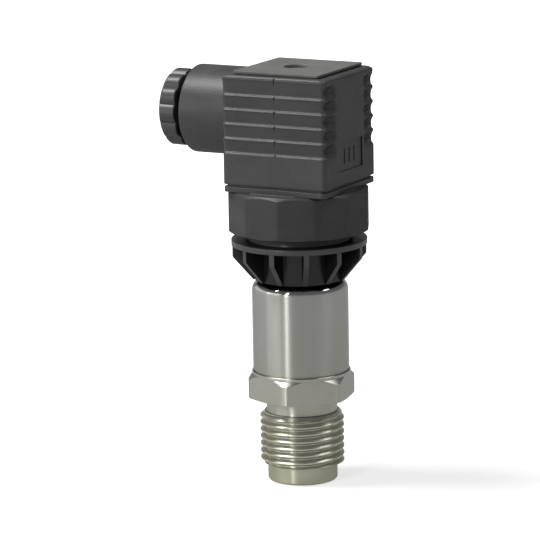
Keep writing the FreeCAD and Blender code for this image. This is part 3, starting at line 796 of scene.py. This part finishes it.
def plug_outline(height, inset):
    """The plug's planform at one height, anticlockwise from the middle of the right face."""
    groove = rib_groove(height)
    scoop = corner_scoop(height)
    right = HOUSING_RIGHT - inset * RIGHT_ROUND / TOP_ROUND
    left = HOUSING_LEFT + inset
    near_right = right - scoop
    near_side = HOUSING_SIDE - inset - groove
    radius = HOUSING_CORNER
    edge_radius = radius * (1 - CORNER_SHARPENING * scoop / SCOOP_DEPTH)
    half = line((right, 0), (right, SCOOP_END), count=4)
    for step in range(SCOOP_STEPS):
        share = step / SCOOP_STEPS
        bowl = 1 + SCOOP_BOWL * math.sin(math.pi * share ** 1.5)
        half.append((right - scoop * smooth_step(share / SCOOP_RUN_OUT) * bowl,
                     SCOOP_END + (near_side - edge_radius - SCOOP_END) * share))
    half += bend(near_right - edge_radius, near_side - edge_radius, edge_radius, 0)
    half += line((near_right - edge_radius, near_side), (left + radius, near_side),
                 count=12)[1:]
    half += bend(left + radius, near_side - radius, radius, 90)
    half += line((left, near_side - radius), (left, 0), count=5)[1:]
    outline = half + [(left, 0)] + [(x, -y) for x, y in reversed(half[1:])]
    return np.array([(x, y, height) for x, y in outline])


def plug_levels():
    """Heights of the plug's outside, each with how far its four sides are drawn in."""
    levels = []
    for turn in quarter_turn(COARSE_ROUND):
        levels.append((HOUSING_LOW + FOOT_ROUND * (1 - math.cos(turn)),
                       FOOT_ROUND * (1 - math.sin(turn))))
    rows = fine_rows(HOUSING_LOW + 0.6, RIB_FIRST - RIB_LIP_HEIGHT, 4)
    rows.append(RIB_FIRST - RIB_LIP_HEIGHT / 2)
    for rib in range(RIB_COUNT):
        foot = RIB_FIRST + rib * RIB_PITCH
        high = RIB_TOP if rib == RIB_COUNT - 1 else foot + RIB_PITCH
        rows += fine_rows(foot, foot + RIB_LEDGE_HEIGHT, 8)
        rows += fine_rows(foot + 0.9, high - 0.5, 10)
        rows += fine_rows(high - RIB_LIP_HEIGHT, high - 0.02, 5)
    levels += [(height, 0.0) for height in rows]
    for turn in quarter_turn(8):
        levels.append((RIB_TOP + TOP_ROUND * math.sin(turn), TOP_ROUND * (1 - math.cos(turn))))
    return levels


def temporary(name, points, faces):
    """A plain object to build with, from points in millimetres."""
    mesh = bpy.data.meshes.new(name)
    mesh.from_pydata([tuple(point) for point in np.asarray(points) * MM], [], faces)
    solid = bmesh.new()
    solid.from_mesh(mesh)
    bmesh.ops.recalc_face_normals(solid, faces=solid.faces)
    solid.to_mesh(mesh)
    solid.free()
    thing = bpy.data.objects.new(name, mesh)
    bpy.context.scene.collection.objects.link(thing)
    return thing


def combine(piece, tool, operation):
    """Adds the tool to the piece or cuts it out, and removes the tool."""
    change = piece.modifiers.new("combine", "BOOLEAN")
    change.operation = operation
    change.solver = "EXACT"
    change.object = tool
    graph = bpy.context.evaluated_depsgraph_get()
    result = bpy.data.meshes.new_from_object(piece.evaluated_get(graph))
    piece.modifiers.clear()
    piece.data = result
    bpy.data.objects.remove(tool)


def box(left, right, front, back, low, high):
    """Points and faces of a plain box, as a tool for cutting."""
    outline = [(left, front), (right, front), (right, back), (left, back)]
    return capped([np.array([(x, y, z) for x, y in outline]) for z in (low, high)])


def turned_solid(profile, angles, along_the_cable=False):
    """Points and faces of a turned body that is closed at both ends."""
    rings = [round_ring(radius, height, angles) for radius, height in profile]
    points, faces = capped(rings)
    if along_the_cable:
        points = out_along_cable(points)
    return points, faces


def gland_thread_profile():
    """A plain start, then the ridges of the gland thread, out to its bevelled end."""
    start, root = GLAND_RADIUS - GLAND_UNDERCUT, GLAND_RADIUS - GLAND_THREAD_DEPTH
    profile = [(start, BOSS_REACH - 1), (start, BOSS_REACH + 0.7)]
    height = BOSS_REACH + 0.9
    while height + GLAND_PITCH < GLAND_END:
        profile += [
            (GLAND_RADIUS, height + 0.3),
            (GLAND_RADIUS, height + 0.6),
            (root, height + 1.1),
            (root, height + 1.2),
        ]
        height += GLAND_PITCH
    profile += [
        (GLAND_RADIUS - GLAND_END_CHAMFER, GLAND_END - GLAND_END_CHAMFER),
        (GLAND_RADIUS - 2 * GLAND_END_CHAMFER, GLAND_END),
    ]
    return profile


def plug_housing():
    """The ribbed housing, its cable boss and the gland thread, joined and hollowed out."""
    rings = [plug_outline(height, inset) for height, inset in plug_levels()]
    body = temporary("plug_housing_moulded", *capped(rings))
    for side in (-1, 1):
        near, far = side * (HOUSING_SIDE - SPLIT_DEPTH), side * (HOUSING_SIDE + 1)
        split = box(SPLIT_PLACE - SPLIT_WIDTH / 2, SPLIT_PLACE + SPLIT_WIDTH / 2,
                    min(near, far), max(near, far), RIB_FIRST, HOUSING_TOP + 1)
        combine(body, temporary("split", *split), "DIFFERENCE")
    panel_floor = HOUSING_RIGHT - PANEL_DEPTH
    panel = box(panel_floor, HOUSING_RIGHT + 1, PANEL_MIDDLE - PANEL_WIDTH / 2,
                PANEL_MIDDLE + PANEL_WIDTH / 2, PANEL_LOW, PANEL_LOW + PANEL_HEIGHT)
    combine(body, temporary("panel", *panel), "DIFFERENCE")
    bar_low = PANEL_LOW + (PANEL_HEIGHT - PANEL_BAR_HEIGHT) / 2
    for place in PANEL_BARS:
        bar = box(panel_floor - 0.5, HOUSING_RIGHT - PANEL_BAR_INSET,
                  place - PANEL_BAR_WIDTH / 2, place + PANEL_BAR_WIDTH / 2,
                  bar_low, bar_low + PANEL_BAR_HEIGHT)
        combine(body, temporary("bar", *bar), "UNION")
    root = -HOUSING_LEFT - HOUSING_WALL / 2
    boss = rounded_profile([
        (BOSS_RADIUS, root),
        (BOSS_RADIUS, BOSS_REACH),
        (0.5, BOSS_REACH),
    ], BOSS_EDGE_ROUND, 5)
    boss = turned_solid(boss, full_turn(BOSS_POINTS), True)
    combine(body, temporary("boss", *boss), "UNION")
    gland = turned_solid(gland_thread_profile(), full_turn(BOSS_POINTS, GLAND_TURN), True)
    combine(body, temporary("gland", *gland), "UNION")
    cavity_top = HOUSING_TOP - HOUSING_CEILING
    room = HOUSING_SIDE - HOUSING_WALL
    cavity = box(HOUSING_LEFT + HOUSING_WALL, HOUSING_RIGHT - HOUSING_WALL, -room, room,
                 HOUSING_LOW - 1, cavity_top)
    combine(body, temporary("cavity", *cavity), "DIFFERENCE")
    passage = [(CABLE_PASSAGE_RADIUS, 5), (CABLE_PASSAGE_RADIUS, CHAMBER_FLOOR),
               (CHAMBER_RADIUS, CHAMBER_FLOOR), (CHAMBER_RADIUS, GLAND_END + 1)]
    passage = turned_solid(passage, full_turn(96), True)
    combine(body, temporary("passage", *passage), "DIFFERENCE")
    hole = [(SCREW_CLEARANCE_RADIUS, cavity_top - 1), (SCREW_CLEARANCE_RADIUS, SCREW_SEAT),
            (SCREW_HOLE_RADIUS, SCREW_SEAT), (SCREW_HOLE_RADIUS, HOUSING_TOP + 1)]
    hole = turned_solid(hole, full_turn(64))
    combine(body, temporary("hole", *hole), "DIFFERENCE")
    finish_piece(body, "root", plug_plastic, ["plug_housing"],
                 smooth_angle=30)


def nut_outline(angles):
    """Radius of the nut's outside: round lobes that meet in narrow valleys."""
    half = math.pi / NUT_LOBES
    valley = NUT_RADIUS - NUT_VALLEY_DEPTH
    rise = NUT_RADIUS - valley * math.cos(half)
    lobe_radius = ((valley * math.sin(half)) ** 2 + rise ** 2) / (2 * rise)
    centre = NUT_RADIUS - lobe_radius
    off = (angles - math.radians(NUT_LOBE_ANGLE) + half) % (2 * half) - half
    return centre * np.cos(off) + np.sqrt(lobe_radius ** 2 - (centre * np.sin(off)) ** 2)


def nut_ring(outer, height, angles):
    """One ring of the nut's outside, kept within the outer radius."""
    return round_ring(soft_minimum(nut_outline(angles), outer, NUT_SOFT_EDGE), height, angles)


def gland_nut():
    angles = full_turn(NUT_POINTS, NUT_LOBE_ANGLE)
    widest = NUT_RADIUS + NUT_SETBACK
    rings = []
    for turn in quarter_turn(COARSE_ROUND):
        inset = NUT_EDGE_ROUND * (1 - math.sin(turn))
        rings.append(round_ring(nut_outline(angles) - inset - NUT_SETBACK,
                                NUT_START + NUT_EDGE_ROUND * (1 - math.cos(turn)), angles))
    for height in fine_rows(NUT_START + 0.6, NUT_END - NUT_END_ROUND, 4):
        rings.append(nut_ring(widest, height, angles))
    for turn in quarter_turn(FINE_ROUND)[1:]:
        rings.append(nut_ring(widest - NUT_END_ROUND * (1 - math.cos(turn)),
                              NUT_END - NUT_END_ROUND * (1 - math.sin(turn)), angles))
    rings += [
        round_ring(NUT_BORE_RADIUS + NUT_MOUTH_WIDTH, NUT_END, angles),
        round_ring(NUT_BORE_RADIUS, NUT_END - NUT_MOUTH_DEPTH, angles),
        round_ring(NUT_BORE_RADIUS, NUT_FLOOR, angles),
        round_ring(NUT_THREAD_RADIUS, NUT_FLOOR, angles),
        round_ring(NUT_THREAD_RADIUS, NUT_START + NUT_THREAD_CHAMFER, angles),
        round_ring(NUT_THREAD_RADIUS + NUT_THREAD_CHAMFER, NUT_START, angles),
    ]
    points, faces = skin(rings, True)
    add_piece("gland_nut_lobed", out_along_cable(points), faces, "gland_nut", nut_plastic,
              ["gland_nut"], smooth_angle=30)


# Solids that are shown as they are, with a finish and some softened edges

SOFT_EDGE_ANGLE = 30
FLAT_ANGLE = 0.5


def dress(node, material, edge=0.0):
    """Gives a node's solids their material and, where edge is given, softens their edges."""
    thing = nodes[node]
    mesh = thing.data
    if not thing.material_slots:
        mesh.materials.append(material)
    for slot in thing.material_slots:
        slot.material = material
    if edge:
        weld = thing.modifiers.new("weld", "WELD")
        weld.merge_threshold = WELD_DISTANCE
        flat = thing.modifiers.new("flat", "DECIMATE")
        flat.decimate_type = "DISSOLVE"
        flat.angle_limit = math.radians(FLAT_ANGLE)
        soft = thing.modifiers.new("soft_edge", "BEVEL")
        soft.width = edge * MM
        soft.segments = 3
        soft.limit_method = "ANGLE"
        soft.angle_limit = math.radians(SOFT_EDGE_ANGLE)
        soft.harden_normals = False


def dress_solids():
    dress("fin_ring", ring_plastic, edge=0.14)
    dress("waist_seal", seal_rubber)
    dress("connector_base", plug_plastic, edge=0.18)
    dress("flat_gasket", seal_rubber)
    dress("top_plate", plate_plastic, edge=0.12)
    dress("fixing_screw", zinc, edge=0.1)
    dress("screw_seal", seal_rubber)
    dress("gland_washer", black_plastic)
    dress("cable_grommet", seal_rubber)
    dress("cell_seal", seal_rubber)
    dress("case_seal", seal_rubber)
    dress("pressure_cell", ceramic)
    dress("cell_clamp_ring", zinc)
    dress("cell_pins", tinned)
    dress("circuit_board", board_green)
    dress("board_chip", black_plastic)
    dress("board_capacitors", zinc)
    dress("hookup_wires", wire_red)
    dress("contact_blades", tinned)
    dress("earth_blade", tinned)
    dress("threaded_insert", brass)
    dress("contact_carrier", black_plastic)
    dress("female_contacts", tinned)
    dress("terminal_screws", zinc)


# Studio, with lengths in metres

FLOOR_GREY = 0.36
FLOOR_HALF_WIDTH = 6.0
OBJECT_MIDDLE = Vector((0, 0, 0.055))


def background_rays(tree):
    """1 for the rays that show the background itself: seen, mirrored or through glass."""
    path = add(tree, "ShaderNodeLightPath")
    seen = path.outputs["Is Camera Ray"]
    for kind in ("Is Glossy Ray", "Is Transmission Ray"):
        seen = calculation(tree, "MAXIMUM", seen, path.outputs[kind])
    return seen


def floor():
    """A pale floor: the lamps and the object's shadow show near the object, plain white beyond."""
    far = FLOOR_HALF_WIDTH
    mesh = bpy.data.meshes.new("floor")
    mesh.from_pydata([(-far, -far, 0), (far, -far, 0), (far, far, 0), (-far, far, 0)],
                     [], [(0, 1, 2, 3)])
    ground = bpy.data.objects.new("floor", mesh)
    bpy.context.scene.collection.objects.link(ground)
    material, tree, shader = new_material("floor_white")
    shader.inputs["Base Color"].default_value = (FLOOR_GREY, FLOOR_GREY, FLOOR_GREY, 1)
    shader.inputs["Roughness"].default_value = 0.9
    shader.inputs["Specular IOR Level"].default_value = 0.0
    place = add(tree, "ShaderNodeTexCoord")
    reach = add(tree, "ShaderNodeVectorMath", operation="LENGTH")
    tree.links.new(place.outputs["Object"], reach.inputs[0])
    spread = limits(tree, reach.outputs["Value"], 0.03, 0.5, 0.6, 1.0, "SMOOTHSTEP")
    white = calculation(tree, "MULTIPLY", background_rays(tree), spread)
    shader.inputs["Emission Color"].default_value = (1, 1, 1, 1)
    tree.links.new(white, shader.inputs["Emission Strength"])
    mesh.materials.append(material)


def world_light(level):
    """White at the horizon where it is seen or mirrored, dimmer above, and a low even light."""
    world = bpy.data.worlds.new("studio")
    world.use_nodes = True
    tree = world.node_tree
    sky = tree.nodes["Background"]
    sky.inputs["Color"].default_value = (1, 1, 1, 1)
    place = add(tree, "ShaderNodeTexCoord")
    split = add(tree, "ShaderNodeSeparateXYZ")
    tree.links.new(place.outputs["Generated"], split.inputs["Vector"])
    fade = limits(tree, split.outputs["Z"], 0.05, 0.4, 1.0, 0.35, "SMOOTHSTEP")
    strength = add(tree, "ShaderNodeMapRange")
    strength.inputs["To Min"].default_value = level
    tree.links.new(background_rays(tree), strength.inputs["Value"])
    tree.links.new(fade, strength.inputs["To Max"])
    tree.links.new(strength.outputs["Result"], sky.inputs["Strength"])
    bpy.context.scene.world = world


def softbox(name, azimuth, elevation, distance, width, height, power):
    """An area lamp aimed at the object; width and height in metres, power in watts.
    Azimuth 0 is in front of the ribbed face, 90 on the side of the face with the panel."""
    lamp = bpy.data.lights.new(name, "AREA")
    lamp.shape = "RECTANGLE"
    lamp.size = width
    lamp.size_y = height
    lamp.energy = power
    turn, lift = math.radians(azimuth), math.radians(elevation)
    away = Vector((math.sin(turn) * math.cos(lift), -math.cos(turn) * math.cos(lift),
                   math.sin(lift)))
    holder = bpy.data.objects.new(name, lamp)
    holder.location = OBJECT_MIDDLE + away * distance
    holder.rotation_mode = "QUATERNION"
    holder.rotation_quaternion = away.to_track_quat("Z", "Y")
    bpy.context.scene.collection.objects.link(holder)


def studio():
    floor()
    world_light(level=0.08)
    softbox("key_left", azimuth=-67, elevation=60, distance=1.2, width=0.45, height=0.45,
            power=23)
    softbox("back_right", azimuth=122, elevation=56, distance=1.2, width=0.5, height=0.5,
            power=7)
    softbox("front_strip", azimuth=-6, elevation=22, distance=1.1, width=0.08, height=0.8,
            power=5.5)
    softbox("side_left", azimuth=-40, elevation=14, distance=1.2, width=0.85, height=0.4,
            power=3.6)
    softbox("far_left", azimuth=-84, elevation=14, distance=1.2, width=1.5, height=0.4,
            power=3)


def camera():
    """The photograph's camera: its angles, distance and focal length were fitted to the object."""
    azimuth, elevation, roll = math.radians(28.166), math.radians(11.696), math.radians(-1.024)
    distance = 0.904403
    aim_right, aim_height = -0.00739, 0.053197
    back = Vector((math.sin(azimuth) * math.cos(elevation),
                   -math.cos(azimuth) * math.cos(elevation), math.sin(elevation)))
    right = Vector((math.cos(azimuth), math.sin(azimuth), 0))
    up = back.cross(right)
    image_right = right * math.cos(roll) + up * math.sin(roll)
    image_up = up * math.cos(roll) - right * math.sin(roll)
    aim = right * aim_right + Vector((0, 0, aim_height))
    lens = bpy.data.cameras.new("camera")
    lens.sensor_width = 36.0
    lens.lens = 243.08
    lens.clip_start = 0.05
    lens.clip_end = 50
    holder = bpy.data.objects.new("camera", lens)
    holder.matrix_world = Matrix((
        (image_right.x, image_up.x, back.x, aim.x + back.x * distance),
        (image_right.y, image_up.y, back.y, aim.y + back.y * distance),
        (image_right.z, image_up.z, back.z, aim.z + back.z * distance),
        (0, 0, 0, 1),
    ))
    bpy.context.scene.collection.objects.link(holder)
    bpy.context.scene.camera = holder


process_connection()
case_tube()
collar()
plug_housing()
gland_nut()
dress_solids()
studio()
camera()
bpy.context.scene.view_settings.view_transform = "Standard"
